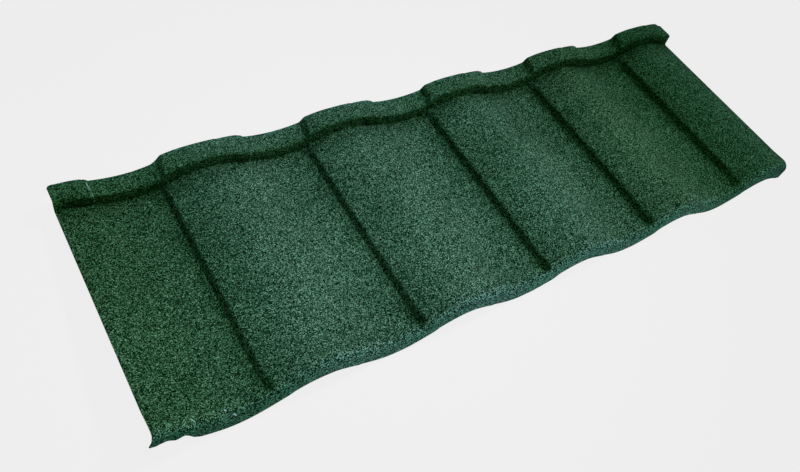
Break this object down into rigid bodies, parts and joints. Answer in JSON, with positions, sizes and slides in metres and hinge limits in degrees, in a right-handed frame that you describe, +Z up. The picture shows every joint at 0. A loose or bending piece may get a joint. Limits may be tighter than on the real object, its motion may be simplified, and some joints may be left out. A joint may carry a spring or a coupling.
{
  "type": "tile effect metal roofing sheet",
  "caption": "Pressed steel roofing sheet with a stone granule coat: waves and steep steps like laid tiles, a rounded nose at the front and an upstand with a flange at the back.",
  "frame": {"origin": "centre of the sheet's box at floor level, with the sheet lying face up as it rests by itself", "axes": "+X along the course of tiles, from the left end to the right end as seen from the front; +Y from the nose to the flange, up the roof; +Z up"},
  "size_m": [1.3466, 0.435, 0.077],
  "materials": {
    "granule_coat": "matt dark green stone granules in a clear overglaze"
  },
  "bodies": {
    "root": {"roofing_sheet": "granule_coat"}
  },
  "joints": []
}
